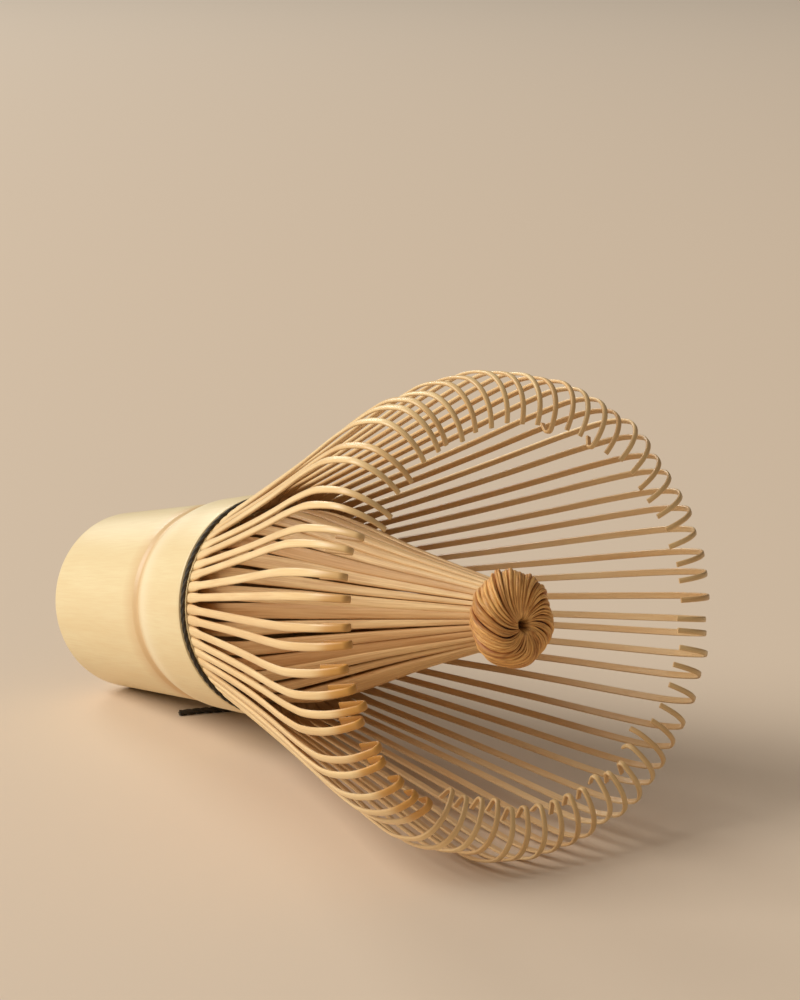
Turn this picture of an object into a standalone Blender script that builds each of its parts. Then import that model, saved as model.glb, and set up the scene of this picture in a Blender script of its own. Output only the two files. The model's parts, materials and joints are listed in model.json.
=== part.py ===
"""Matcha whisk of split bamboo, lying on its side as it is laid down to dry.

Lengths are metres. The whisk is modelled along its own axis, from the butt of the handle at
height 0 up to the knob, with local +X as the side it lies on. An empty then lays it down:
local Z turns to world +X, leaning up by the angle at which handle and tines both rest on Z = 0.
"""
import math
import random

import bmesh
import bpy
from mathutils import Vector

MM = 0.001
CLEARANCE = 0.3 * MM
SHARP_ANGLE = math.radians(40.0)

# Handle: a length of bamboo culm with its node, hollow at both ends of the node's wall
HANDLE_LENGTH = 42.3 * MM
BUTT_RADIUS = 12.9 * MM
BUTT_ROUNDING = 1.2 * MM
SEAT_RADIUS = 14.3 * MM
SEAT_LENGTH = 0.3 * MM
SEAT_DEPTH = 1.0 * MM
NODE_HEIGHT = 27.6 * MM
NODE_RADIUS = 14.1 * MM
NODE_GROOVE = 0.45 * MM
NODE_GROOVE_WIDTH = 2.2 * MM
NODE_WALL = 2.4 * MM
BAND_SWELL = 0.3 * MM
BUTT_BORE_RADIUS = 9.2 * MM
HEAD_WALL = 2.4 * MM
HANDLE_SIDES = 48

# Root ring: the culm's wall in front of the handle, split into the slices that carry the tines
ROOT_LENGTH = 1.0 * MM
OUTER_WALL = 1.0 * MM
INNER_WALL = 1.0 * MM

# Outer tines: their run is given as (distance from the root, angle to the whisk's axis in degrees)
OUTER_TINES = 65
OUTER_PER_SLICE = 5
OUTER_ROOT_WIDTH = 1.1 * MM
OUTER_WIDTH = 1.04 * MM
OUTER_TIP_WIDTH = 0.86 * MM
OUTER_THICKNESS = 0.46 * MM
OUTER_TIP_THICKNESS = 0.34 * MM
ROOT_TAPER = 6.0 * MM
BEND_START = 49.8 * MM
FLARE = ((0.0, 50.0), (0.9 * MM, 50.0), (2.0 * MM, 16.0), (6.8 * MM, 15.0), (17.8 * MM, 18.0), (29.8 * MM, 15.0),
         (39.8 * MM, 20.0), (BEND_START, 13.4), (56.8 * MM, -8.0))
FLARE_STATIONS = (0.9 * MM, 2.2 * MM, 6.8 * MM, 15.8 * MM, 25.8 * MM, 34.8 * MM, 42.8 * MM, BEND_START, 53.4 * MM,
                  56.8 * MM)

# Ends of the outer tines: all are bent over, with a section for each so many degrees of bend
BENT_END = ((63.4 * MM, -95.0), (65.2 * MM, -109.0))
BEND_STEP = 16.0
# Those of one side are folded back in a narrow hook, whose free end runs on for so long, less from one tine on
HOOKED_TINES = range(43, 58)
HOOKED_END = ((61.4 * MM, -45.0), (64.0 * MM, -195.0))
HOOK_RUN = 3.8 * MM
SHORT_HOOK_RUN = 1.0 * MM
SHORTER_FROM = 50
# Those that the whisk lies on end in a crook
CROOK_TURN = 128.0
CROOK_LENGTH = 1.7 * MM
CROOK_RUN = 1.4 * MM
# The crooks stand round this angle, full within one share of the way round and fading to none at the other
CROOK_SIDE = math.radians(-15.0)
CROOK_FULL = 0.85
CROOK_NONE = 0.71
CROOK_SPREAD = (-0.2, 0.1)
CROOKED_TINES = {26: 1.0, 29: 0.9}

# How far single tines stray from their even places, in degrees
STRAY_TINES = {57: -1.1, 54: -1.6, 52: -2.6, 47: 1.5, 44: -1.3, 41: 1.4, 38: -1.5, 37: -1.8, 13: 1.7, 12: 2.0,
               11: 2.2, 10: 1.5}
STRAY_SPREAD = 0.35
STRAY_FROM = 8.0 * MM
STRAY_TO = 38.0 * MM
FLARE_SPREAD = 0.5
SEED = 11

# Inner tines: a cone from the root ring to the knob, given as (distance along the axis from the root,
# outer-face radius)
INNER_TINES = 32
INNER_PER_SLICE = 4
INNER_ROOT_WIDTH = 1.75 * MM
INNER_THICKNESS = 0.55 * MM
INNER_FILL = 0.76
CONE = ((8.4 * MM, 12.9 * MM), (18.8 * MM, 10.9 * MM), (33.2 * MM, 7.6 * MM))
NECK_REACH = 51.0 * MM
NECK_RADIUS = 3.95 * MM

# Knob: the gathered ends, curled over into a dimple. The outline runs from its back over the rim
# to the dimple's edge, as (share of its radius, share of its length)
KNOB_LENGTH = 5.3 * MM
KNOB_RADIUS = 5.65 * MM
KNOB_OVAL = 1.08
KNOB_OUTLINE = ((0.7, 0.0), (0.88, 0.1), (0.98, 0.32), (1.0, 0.55), (0.94, 0.78), (0.8, 0.94), (0.6, 1.0),
                (0.38, 0.94), (0.17, 0.76))
KNOB_RIDGES = 32
KNOB_RIDGE_DEPTH = 0.3 * MM
KNOB_RIDGE_START = 0.15
KNOB_RIDGE_FADE = 0.6
KNOB_SWIRL = math.radians(100.0)
DIMPLE_DEPTH = 1.9 * MM

# Thread: one round of waxed thread over the roots, its end lapped over its start
THREAD_DIAMETER = 0.9 * MM
THREAD_START = 10.0
THREAD_LAP = 12.0
THREAD_LIFT = 1.5 * MM
THREAD_LIFT_FROM = 328.0
THREAD_LIFT_TO = 354.0
LOOP_POINTS = 24
# The free end's route, as (along, across) from where it leaves the round: it falls over the first two
# places and lies on the table from the third
TAIL_ROUTE = ((0.2 * MM, 1.5 * MM), (-1.6 * MM, 3.2 * MM), (-5.6 * MM, 3.6 * MM), (-11.6 * MM, 2.4 * MM),
              (-17.6 * MM, 0.2 * MM), (-21.4 * MM, -3.0 * MM), (-23.2 * MM, -6.6 * MM), (-24.3 * MM, -10.4 * MM))
TAIL_STEPS = 4

PALE_BAMBOO = (0.80, 0.56, 0.30)
SPLIT_BAMBOO = (0.74, 0.46, 0.22)
INNER_BAMBOO = (0.66, 0.37, 0.16)
KNOB_BAMBOO = (0.58, 0.35, 0.12)
DARK_THREAD = (0.035, 0.030, 0.018)

SHOULDER_HEIGHT = HANDLE_LENGTH - SEAT_LENGTH
SHOULDER_RADIUS = SEAT_RADIUS + SEAT_DEPTH
HEAD_BORE_RADIUS = SEAT_RADIUS - HEAD_WALL
ROOT_HEIGHT = HANDLE_LENGTH + CLEARANCE
ROOT_FRONT = ROOT_HEIGHT + ROOT_LENGTH
NECK_HEIGHT = ROOT_FRONT + NECK_REACH
OUTER_BACK = SEAT_RADIUS - OUTER_WALL
INNER_FACE = OUTER_BACK - CLEARANCE
INNER_BACK = INNER_FACE - INNER_WALL
THREAD_RADIUS = SEAT_RADIUS + CLEARANCE + THREAD_DIAMETER / 2
THREAD_HEIGHT = HANDLE_LENGTH + THREAD_DIAMETER / 2
OUTER_PITCH = 2 * math.pi / OUTER_TINES
INNER_PITCH = 2 * math.pi / INNER_TINES


def start_scene():
    """Empty the scene and make the collection that holds the whisk and the empty it lies under."""
    for old in list(bpy.data.objects):
        bpy.data.objects.remove(old)
    whisk = bpy.data.collections.new("matcha_whisk")
    bpy.context.scene.collection.children.link(whisk)
    axis = bpy.data.objects.new("whisk_axis", None)
    whisk.objects.link(axis)
    return whisk, axis


def bamboo(name, colour, roughness):
    """A plain shader in the colour of one part of the whisk."""
    material = bpy.data.materials.new(name)
    material.use_nodes = True
    shader = material.node_tree.nodes["Principled BSDF"]
    shader.inputs["Base Color"].default_value = (*colour, 1.0)
    shader.inputs["Roughness"].default_value = roughness
    return material


def add_piece(name, shape, material, whisk, parent=None):
    """Put a finished mesh or curve in the whisk's collection as one named piece."""
    shape.materials.append(material)
    piece = bpy.data.objects.new(name, shape)
    whisk.objects.link(piece)
    piece.parent = parent
    return piece


def finish_mesh(mesh_edit, name):
    """Turn an edited shape into a mesh that is smooth along its length and sharp at its edges."""
    bmesh.ops.recalc_face_normals(mesh_edit, faces=mesh_edit.faces)
    mesh = bpy.data.meshes.new(name)
    mesh_edit.to_mesh(mesh)
    mesh_edit.free()
    mesh.shade_smooth()
    mesh.set_sharp_from_angle(angle=SHARP_ANGLE)
    return mesh


def polar(radius, angle, height):
    return Vector((radius * math.cos(angle), radius * math.sin(angle), height))


def smooth_step(value, low, high):
    """0 below low, 1 above high, and an easy curve between."""
    share = min(max((value - low) / (high - low), 0.0), 1.0)
    return share * share * (3.0 - 2.0 * share)


def interpolate(table, value):
    """Read a table of (place, amount) pairs at one place, straight between its rows."""
    for (low, first), (high, second) in zip(table, table[1:]):
        if value <= high:
            return first + (second - first) * max(value - low, 0.0) / (high - low)
    return table[-1][1]


def arc_profile(centre, radius, start, end, steps):
    """Points of an arc in the (radius, height) plane, angles in degrees from +radius."""
    turns = [math.radians(start + (end - start) * step / steps) for step in range(steps + 1)]
    return [(centre[0] + radius * math.cos(turn), centre[1] + radius * math.sin(turn)) for turn in turns]


def handle_profile():
    """Half section of the handle, from the axis out, over the shoulder, down to the butt and in again."""
    groove_low = NODE_HEIGHT - NODE_GROOVE_WIDTH / 2
    groove_high = NODE_HEIGHT + NODE_GROOVE_WIDTH / 2
    wall_low = NODE_HEIGHT - NODE_WALL / 2
    wall_high = NODE_HEIGHT + NODE_WALL / 2
    outside = [(SEAT_RADIUS, HANDLE_LENGTH), (SEAT_RADIUS, SHOULDER_HEIGHT), (SHOULDER_RADIUS, SHOULDER_HEIGHT)]
    for share in (0.75, 0.5, 0.25):
        line = NODE_RADIUS + (SHOULDER_RADIUS - NODE_RADIUS) * share
        height = groove_high + (SHOULDER_HEIGHT - groove_high) * share
        outside.append((line + BAND_SWELL * math.sin(math.pi * share), height))
    outside += [(NODE_RADIUS, groove_high), (NODE_RADIUS - NODE_GROOVE, NODE_HEIGHT), (NODE_RADIUS, groove_low)]
    outside.append(((NODE_RADIUS + BUTT_RADIUS) / 2, groove_low / 2))
    outside += arc_profile((BUTT_RADIUS - BUTT_ROUNDING, BUTT_ROUNDING), BUTT_ROUNDING, 0.0, -90.0, 3)
    return [(0.0, wall_high), (HEAD_BORE_RADIUS, wall_high), (HEAD_BORE_RADIUS, HANDLE_LENGTH), *outside,
            (BUTT_BORE_RADIUS, 0.0), (BUTT_BORE_RADIUS, wall_low), (0.0, wall_low)]


def make_handle(whisk, axis, material):
    """Turn the handle's half section round the axis, a flat of it facing the table."""
    points = handle_profile()
    mesh = bpy.data.meshes.new("handle")
    edges = [(index, index + 1) for index in range(len(points) - 1)]
    mesh.from_pydata([(radius, 0.0, height) for radius, height in points], edges, [])
    handle = add_piece("handle", mesh, material, whisk, axis)
    handle.rotation_euler.z = math.pi / HANDLE_SIDES
    screw = handle.modifiers.new("turn", "SCREW")
    screw.steps = HANDLE_SIDES
    screw.render_steps = HANDLE_SIDES
    screw.use_merge_vertices = True
    screw.merge_threshold = 0.00001
    handle.modifiers.new("flats", "WEIGHTED_NORMAL")
    return handle


def tine_whims():
    """How each outer tine differs from the next: its place, its flare, and its end's crook or hook."""
    draw = random.Random(SEED)
    whims = []
    for index in range(OUTER_TINES):
        angle = (index + 0.5) * OUTER_PITCH
        stray = math.radians(STRAY_TINES.get(index, 0.0) + draw.uniform(-STRAY_SPREAD, STRAY_SPREAD))
        flare = draw.uniform(-FLARE_SPREAD, FLARE_SPREAD)
        nearness = (1.0 + math.cos(angle - CROOK_SIDE)) / 2
        crook = smooth_step(nearness, CROOK_NONE, CROOK_FULL) + draw.uniform(*CROOK_SPREAD)
        crook = CROOKED_TINES.get(index, crook if nearness > CROOK_NONE else 0.0)
        hook = 0.0
        if index in HOOKED_TINES:
            hook = HOOK_RUN + (SHORT_HOOK_RUN - HOOK_RUN) * smooth_step(index, SHORTER_FROM, HOOKED_TINES[-1])
            crook = 0.0
        whims.append((angle, stray, flare, max(crook, 0.0), hook))
    return whims


def outer_headings(flare, crook, hook):
    """The tine's angle to the axis along its length, with its own flare and crook or hook."""
    end = BENT_END
    if hook > 0.0:
        folded, back = HOOKED_END[-1]
        end = (*HOOKED_END, (folded + hook, back))
    table = [(place, heading + flare) for place, heading in (*FLARE, *end)]
    if crook > 0.0:
        end, heading = table[-1]
        turned = heading - CROOK_TURN * crook
        table += [(end + CROOK_LENGTH, turned), (end + CROOK_LENGTH + CROOK_RUN * crook, turned)]
    return table


def outer_stations(table):
    """Distances along the tine at which its sections stand, closer together where it bends."""
    stations = list(FLARE_STATIONS)
    for (start, before), (end, after) in zip(table[len(FLARE) - 1:], table[len(FLARE):]):
        steps = max(1, math.ceil(abs(after - before) / BEND_STEP))
        stations += [start + (end - start) * step / steps for step in range(1, steps + 1)]
    return stations


def follow(table, stations, radius, height):
    """Walk along the headings and give (distance, radius, height, heading) at each station."""
    walked = []
    place = 0.0
    step = 0.1 * MM
    for station in stations:
        count = max(1, round((station - place) / step))
        stride = (station - place) / count
        for _ in range(count):
            heading = math.radians(interpolate(table, place + stride / 2))
            radius += stride * math.sin(heading)
            height += stride * math.cos(heading)
            place += stride
        walked.append((station, radius, height, math.radians(interpolate(table, station))))
    return walked


def section(radius, height, heading, angle, width, thickness):
    """Corners of a tine's section: outer left, outer right, inner right, inner left."""
    across = Vector((-math.sin(angle), math.cos(angle), 0.0))
    outward = Vector((math.cos(angle), math.sin(angle), 0.0)) * math.cos(heading)
    outward -= Vector((0.0, 0.0, math.sin(heading)))
    face = polar(radius, angle, height)
    back = face - outward * thickness
    half = across * width / 2
    return face - half, face + half, back + half, back - half


def outer_sections(angle, stray, flare, crook, hook):
    """All the sections of one outer tine beyond its root."""
    table = outer_headings(flare, crook, hook)
    length = table[-1][0]
    sections = []
    for place, radius, height, heading in follow(table, outer_stations(table), SEAT_RADIUS, ROOT_FRONT):
        turned = angle + stray * smooth_step(place, STRAY_FROM, STRAY_TO)
        width = OUTER_ROOT_WIDTH + (OUTER_WIDTH - OUTER_ROOT_WIDTH) * smooth_step(place, 0.0, STRAY_FROM)
        width += (OUTER_TIP_WIDTH - OUTER_WIDTH) * smooth_step(place, BEND_START, length)
        thickness = OUTER_WALL + (OUTER_THICKNESS - OUTER_WALL) * smooth_step(place, 0.0, ROOT_TAPER)
        thickness += (OUTER_TIP_THICKNESS - OUTER_THICKNESS) * smooth_step(place, ROOT_TAPER, length)
        sections.append(section(radius, height, heading, turned, width, thickness))
    return sections


def inner_sections(angle):
    """All the sections of one inner tine beyond its root, narrowing as the cone does."""
    places = [(0.0, INNER_FACE), *CONE, (NECK_REACH, NECK_RADIUS)]
    sections = []
    for (before, wide), (reach, radius) in zip(places, places[1:]):
        heading = math.atan2(radius - wide, reach - before)
        width = min(INNER_ROOT_WIDTH, INNER_FILL * INNER_PITCH * radius)
        sections.append(section(radius, ROOT_FRONT + reach, heading, angle, width, INNER_THICKNESS))
    return sections


def make_slice(name, angles, pitch, root_width, face_radius, back_radius, tines, whisk, axis, material):
    """One slice of the culm's wall with its tines grown out of its front, as a single body."""
    half_tine = root_width / face_radius / 2
    end_gap = CLEARANCE / back_radius / 2
    marks = [angles[0] - pitch / 2 + end_gap]
    for angle in angles:
        marks += [angle - half_tine, angle + half_tine]
    marks.append(angles[-1] + pitch / 2 - end_gap)
    mesh_edit = bmesh.new()
    outer_row = [mesh_edit.verts.new(polar(face_radius, mark, ROOT_FRONT)) for mark in marks]
    inner_row = [mesh_edit.verts.new(polar(back_radius, mark, ROOT_FRONT)) for mark in marks]
    # The strip faces back, the way it is extruded, which turns its first faces to the front
    strip = [mesh_edit.faces.new((outer_row[i], inner_row[i], inner_row[i + 1], outer_row[i + 1]))
             for i in range(len(marks) - 1)]
    grown = bmesh.ops.extrude_face_region(mesh_edit, geom=strip)["geom"]
    new_verts = [part for part in grown if isinstance(part, bmesh.types.BMVert)]
    bmesh.ops.translate(mesh_edit, verts=new_verts, vec=(0.0, 0.0, -ROOT_LENGTH))
    for root, sections in zip(strip[1::2], tines):
        face = root
        for corners in sections:
            face = bmesh.ops.extrude_discrete_faces(mesh_edit, faces=[face])["faces"][0]
            for vert, corner in zip(face.verts, corners):
                vert.co = corner
    return add_piece(name, finish_mesh(mesh_edit, name), material, whisk, axis)


def make_outer_tines(whisk, axis, material):
    """The flared outer tines, a slice of the root ring at a time."""
    whims = tine_whims()
    pieces = []
    for first in range(0, OUTER_TINES, OUTER_PER_SLICE):
        group = whims[first:first + OUTER_PER_SLICE]
        name = f"outer_tines_{first // OUTER_PER_SLICE + 1:02d}"
        tines = [outer_sections(*whim) for whim in group]
        pieces.append(make_slice(name, [whim[0] for whim in group], OUTER_PITCH, OUTER_ROOT_WIDTH,
                                 SEAT_RADIUS, OUTER_BACK, tines, whisk, axis, material))
    return pieces


def make_inner_tines(whisk, axis, material):
    """The inner tines that run in to the knob, a slice of the root ring at a time."""
    pieces = []
    for first in range(0, INNER_TINES, INNER_PER_SLICE):
        angles = [(index + 0.5) * INNER_PITCH for index in range(first, first + INNER_PER_SLICE)]
        name = f"inner_tines_{first // INNER_PER_SLICE + 1:02d}"
        pieces.append(make_slice(name, angles, INNER_PITCH, INNER_ROOT_WIDTH, INNER_FACE, INNER_BACK,
                                 [inner_sections(angle) for angle in angles], whisk, axis, material))
    return pieces


def make_knob(whisk, axis, material):
    """Shape a ball to the knob's outline, with ridges that wind from the neck into the dimple."""
    back = NECK_HEIGHT + CLEARANCE
    columns = 2 * KNOB_RIDGES
    bands = len(KNOB_OUTLINE) + 1
    mesh_edit = bmesh.new()
    bmesh.ops.create_uvsphere(mesh_edit, u_segments=columns, v_segments=bands, radius=1.0)
    for vert in mesh_edit.verts:
        spin = math.atan2(vert.co.y, vert.co.x)
        ring = round((1.0 - math.acos(max(-1.0, min(1.0, vert.co.z))) / math.pi) * bands) - 1
        if ring < 0:
            vert.co = (0.0, 0.0, back)
        elif ring >= len(KNOB_OUTLINE):
            vert.co = (0.0, 0.0, back + KNOB_LENGTH - DIMPLE_DEPTH)
        else:
            share = ring / (len(KNOB_OUTLINE) - 1)
            depth = KNOB_RIDGE_DEPTH * smooth_step(share, 0.0, KNOB_RIDGE_START) * (1.0 - KNOB_RIDGE_FADE * share)
            groove = depth * (round(spin / (2 * math.pi) * columns) % 2)
            wide, along = KNOB_OUTLINE[ring]
            vert.co = polar(wide * KNOB_RADIUS - groove, spin + KNOB_SWIRL * share, back + along * KNOB_LENGTH)
            vert.co.x *= 1.0 + (KNOB_OVAL - 1.0) * smooth_step(share, 0.0, KNOB_RIDGE_START)
    return add_piece("knob", finish_mesh(mesh_edit, "knob"), material, whisk, axis)


def binding_points():
    """The thread's round in its seat, its last stretch lifted over its start."""
    total = 360.0 + THREAD_LAP
    count = round(LOOP_POINTS * total / 360.0)
    points = []
    for step in range(count + 1):
        turned = total * step / count
        lift = THREAD_LIFT * smooth_step(turned, THREAD_LIFT_FROM, THREAD_LIFT_TO)
        points.append(polar(THREAD_RADIUS + lift, math.radians(THREAD_START + turned), THREAD_HEIGHT))
    return points


def least_self_gap(points, diameter):
    """The narrowest space between stretches of a tube that aren't next to each other."""
    fine = []
    for first, second in zip(points, points[1:]):
        fine += [first.lerp(second, share / 8) for share in range(8)]
    skip = round(8 * LOOP_POINTS / 4)
    gaps = [(a - b).length for i, a in enumerate(fine) for b in fine[i + skip:]]
    return min(gaps) - diameter


def make_tube(name, points, diameter, whisk, material, parent=None):
    """A round tube along a list of points, as a curve with filled ends."""
    curve = bpy.data.curves.new(name, "CURVE")
    curve.dimensions = "3D"
    curve.bevel_depth = diameter / 2
    curve.bevel_resolution = 1
    curve.use_fill_caps = True
    spline = curve.splines.new("POLY")
    spline.points.add(len(points) - 1)
    for knot, point in zip(spline.points, points):
        knot.co = (*point, 1.0)
    return add_piece(name, curve, material, whisk, parent)


def world_corners(pieces):
    """Every corner of the finished pieces, where it now stands."""
    bpy.context.view_layer.update()
    graph = bpy.context.evaluated_depsgraph_get()
    corners = []
    for piece in pieces:
        solid = piece.evaluated_get(graph)
        corners += [solid.matrix_world @ vert.co for vert in solid.to_mesh().vertices]
        solid.to_mesh_clear()
    return corners


def rest_lean(handle, tines):
    """The angle to the table at which the handle and the widest tines touch it together."""
    handle_corners = world_corners([handle])
    tine_corners = world_corners(tines)

    def lowest(corners, lean):
        return min(corner.z * math.sin(lean) - corner.x * math.cos(lean) for corner in corners)

    low, high = 0.0, math.radians(30.0)
    for _ in range(40):
        lean = (low + high) / 2
        if lowest(tine_corners, lean) < lowest(handle_corners, lean):
            low = lean
        else:
            high = lean
    return lean


def lay_down(axis, pieces, lean):
    """Turn the whisk on its side, set it on Z = 0 and centre it over the origin."""
    axis.rotation_euler.y = math.pi / 2 - lean
    corners = world_corners(pieces)
    low = Vector([min(corner[side] for corner in corners) for side in range(3)])
    high = Vector([max(corner[side] for corner in corners) for side in range(3)])
    axis.location = (-(low.x + high.x) / 2, -(low.y + high.y) / 2, -low.z)
    bpy.context.view_layer.update()
    print(f"whisk: leans {math.degrees(lean):.3f} degrees, butt at {[round(side / MM, 3) for side in axis.location]} mm")


def smooth_route(guides, steps):
    """Points of a smooth curve through every guide point."""
    padded = [2 * guides[0] - guides[1], *guides, 2 * guides[-1] - guides[-2]]
    points = [guides[0]]
    for before, first, second, after in zip(padded, padded[1:], padded[2:], padded[3:]):
        for step in range(1, steps + 1):
            share = step / steps
            points.append((2 * first + (second - before) * share
                           + (2 * before - 5 * first + 4 * second - after) * share ** 2
                           + (3 * first - before - 3 * second + after) * share ** 3) / 2)
    return points


def tail_points(axis, ring_points):
    """The thread's free end: off the round, down to the table and back under the handle in one bow."""
    end = axis.matrix_world @ ring_points[-1]
    along = (end - axis.matrix_world @ ring_points[-2]).normalized()
    start = end + along * CLEARANCE
    table = THREAD_DIAMETER / 2
    heights = [start.z, (start.z + table) / 2] + [table] * (len(TAIL_ROUTE) - 2)
    guides = [start]
    for (forward, across), height in zip(TAIL_ROUTE, heights):
        guides.append(Vector((start.x + forward, start.y + across, height)))
    points = smooth_route(guides, TAIL_STEPS)
    for point in points:
        point.z = max(point.z, table)
    length = sum((second - first).length for first, second in zip(points, points[1:]))
    print(f"thread's free end: {length / MM:.1f} mm long, from {[round(side / MM, 2) for side in start]} mm")
    return points


def main():
    whisk, axis = start_scene()
    handle = make_handle(whisk, axis, bamboo("polished bamboo skin", PALE_BAMBOO, 0.35))
    outer = make_outer_tines(whisk, axis, bamboo("split bamboo", SPLIT_BAMBOO, 0.5))
    inner = make_inner_tines(whisk, axis, bamboo("inner bamboo", INNER_BAMBOO, 0.55))
    knob = make_knob(whisk, axis, bamboo("curled bamboo ends", KNOB_BAMBOO, 0.6))
    thread = bamboo("waxed thread", DARK_THREAD, 0.7)
    ring_points = binding_points()
    print(f"thread: least gap to itself {least_self_gap(ring_points, THREAD_DIAMETER) / MM:.2f} mm")
    binding = make_tube("binding_thread", ring_points, THREAD_DIAMETER, whisk, thread, axis)
    lay_down(axis, [handle, *outer, *inner, knob, binding], rest_lean(handle, outer))
    make_tube("thread_tail", tail_points(axis, ring_points), THREAD_DIAMETER, whisk, thread)


main()
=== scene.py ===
"""Looks of a split-bamboo tea whisk that lies on its side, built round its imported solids.

Lengths are metres. Each piece is shaped along the whisk's own axis, from the butt of the handle at
height 0 up to the knob, with local +X as the side it lies on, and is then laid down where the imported
part lies.
"""
import json
import math
import random

import bmesh
import bpy
from bpy.props import FloatProperty, FloatVectorProperty, PointerProperty
from bpy.types import Operator, Panel, PropertyGroup
from mathutils import Matrix, Vector


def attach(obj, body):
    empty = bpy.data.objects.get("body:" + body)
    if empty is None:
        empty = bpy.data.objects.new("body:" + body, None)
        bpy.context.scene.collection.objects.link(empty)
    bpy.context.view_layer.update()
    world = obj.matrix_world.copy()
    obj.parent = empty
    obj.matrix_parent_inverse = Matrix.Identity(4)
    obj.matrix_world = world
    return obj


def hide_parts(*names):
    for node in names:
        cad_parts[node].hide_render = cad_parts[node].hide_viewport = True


bl_info = {
    "name": "Matcha whisk",
    "version": (1, 0, 0),
    "blender": (4, 5, 0),
    "location": "View3D > Sidebar > Whisk",
    "description": "Shapes and finishes of a split-bamboo tea whisk on a pale floor",
    "category": "Add Mesh",
}

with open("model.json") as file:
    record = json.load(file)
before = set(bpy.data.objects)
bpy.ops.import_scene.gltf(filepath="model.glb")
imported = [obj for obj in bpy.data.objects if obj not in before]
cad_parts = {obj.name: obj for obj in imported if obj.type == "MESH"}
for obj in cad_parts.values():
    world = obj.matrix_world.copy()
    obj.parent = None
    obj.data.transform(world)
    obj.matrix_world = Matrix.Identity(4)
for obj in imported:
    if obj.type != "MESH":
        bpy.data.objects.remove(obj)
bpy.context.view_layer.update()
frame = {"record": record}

MM = 0.001
# Points that lie closer than this are one
MERGE_WITHIN = 0.001 * MM

# Where the whisk lies: its butt's mount stands on the rim, this far across from the whisk's axis
RIM_MIDDLE = 10.45 * MM
BUTT_MOUNT = next(mount for mount in frame["record"]["mounts"] if mount["name"] == "butt_end")
LEAN = math.asin(-BUTT_MOUNT["axis"][2])
BUTT = Vector(BUTT_MOUNT["pos_m"]) - Vector((0.0, RIM_MIDDLE, 0.0))
LAID_DOWN = Matrix.Translation(BUTT) @ Matrix.Rotation(math.pi / 2 - LEAN, 4, "Y")

# Handle
HANDLE_LENGTH = 42.3 * MM
BUTT_RADIUS = 12.9 * MM
BUTT_ROUNDING = 1.2 * MM
EDGE = 0.15 * MM
SEAT_RADIUS = 14.3 * MM
SEAT_LENGTH = 0.3 * MM
SEAT_DEPTH = 1.0 * MM
NODE_HEIGHT = 27.6 * MM
NODE_RADIUS = 14.1 * MM
NODE_GROOVE_WIDTH = 2.2 * MM
NODE_WALL = 2.4 * MM
BUTT_BORE_RADIUS = 9.2 * MM
HEAD_BORE_RADIUS = 11.9 * MM
# How far the ridge stands above the groove, where the darker and the paler band ring the handle, and their
# reach
RIDGE_PLACE = 2.6 * MM
RIDGE_WIDTH = 2.2 * MM
# The darker band is the node's own scar with painted shade of its groove over it
SCAR_AND_SHADE_PLACE = NODE_HEIGHT - 0.1 * MM
SCAR_AND_SHADE_WIDTH = 1.6 * MM
# The paler band is a painted sheen on the band above the node, over the waxy bloom beside a node
BLOOM_AND_SHEEN_PLACE = NODE_HEIGHT + 2.9 * MM
BLOOM_AND_SHEEN_WIDTH = 2.1 * MM
SHOULDER_HEIGHT = HANDLE_LENGTH - SEAT_LENGTH
SHOULDER_RADIUS = SEAT_RADIUS + SEAT_DEPTH
# The ridge eases in from the groove over this share of the band
RIDGE_EASE = 0.1
BAND_STEPS = 32
GROOVE_STEPS = 12
SHANK_STEPS = 8
ROUNDING_STEPS = 6
HANDLE_SIDES = 128
# What the skin's finish reads: the skin lies outside the first radius and the hollow inside the second, and
# the cut end reaches up to this height
SKIN_FROM = HEAD_BORE_RADIUS + 0.5 * MM
HOLLOW_TO = BUTT_BORE_RADIUS + 0.1 * MM
CUT_TO = 0.1 * MM

# Roots of the tines
CLEARANCE = 0.3 * MM
ROOT_HEIGHT = HANDLE_LENGTH + CLEARANCE
ROOT_LENGTH = 1.0 * MM
ROOT_FRONT = ROOT_HEIGHT + ROOT_LENGTH
OUTER_WALL = 1.0 * MM
INNER_WALL = 1.0 * MM
INNER_FACE = 13.0 * MM
# The tines thin from their roots over this length
THIN_TO = 6.0 * MM

# Outer tines: their run is given as (distance from the root, angle to the whisk's axis in degrees)
OUTER_TINES = 65
OUTER_PER_SLICE = 5
BEND_START = 49.8 * MM
FLARE = ((0.0, 50.0), (0.9 * MM, 50.0), (2.0 * MM, 16.0), (20.0 * MM, 16.5), (40.0 * MM, 18.2),
         (BEND_START, 14.4), (56.8 * MM, -8.5))
BENT_END = ((63.4 * MM, -95.0), (65.2 * MM, -109.0))
# Rows of points: how many stand from each of these places to the next, and past them how many at least to a
# bend, with the most degrees between two
ROW_PLACES = (0.3 * MM, 2.4 * MM, 8.0 * MM, BEND_START, FLARE[-1][0])
ROW_COUNTS = (6, 8, 26, 8)
BEND_ROWS = 3
BEND_STEP = 8.0
# The root is this share of its width under the thread, and is full just short of its front
ROOT_SQUEEZE = 0.97
ROOT_LIP = 0.1 * MM
NARROW_FROM = 3.4 * MM
NARROW_TO = 8.5 * MM
HOOKED_TINES = range(43, 58)
HOOKED_END = ((61.4 * MM, -45.0), (64.0 * MM, -195.0))
HOOK_RUN = 3.8 * MM
SHORT_HOOK_RUN = 1.0 * MM
SHORTER_FROM = 50
# Round the ring from here to there the hooks grow broad and take the golden painted shade in full
BROAD_FROM = math.radians(236.0)
BROAD_TO = math.radians(272.0)
# The crook at the end of a tine near the floor, in full or in part by its nearness to the lowest side
CROOK_TURN = 128.0
CROOK_LENGTH = 1.7 * MM
CROOK_RUN = 1.4 * MM
CROOK_SIDE = math.radians(-15.0)
CROOK_FULL = 0.85
CROOK_NONE = 0.71
CROOK_SPREAD = (-0.2, 0.1)
# Two tines far from the floor have one too
CROOKED_TINES = {26: 1.0, 29: 0.9}
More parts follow.
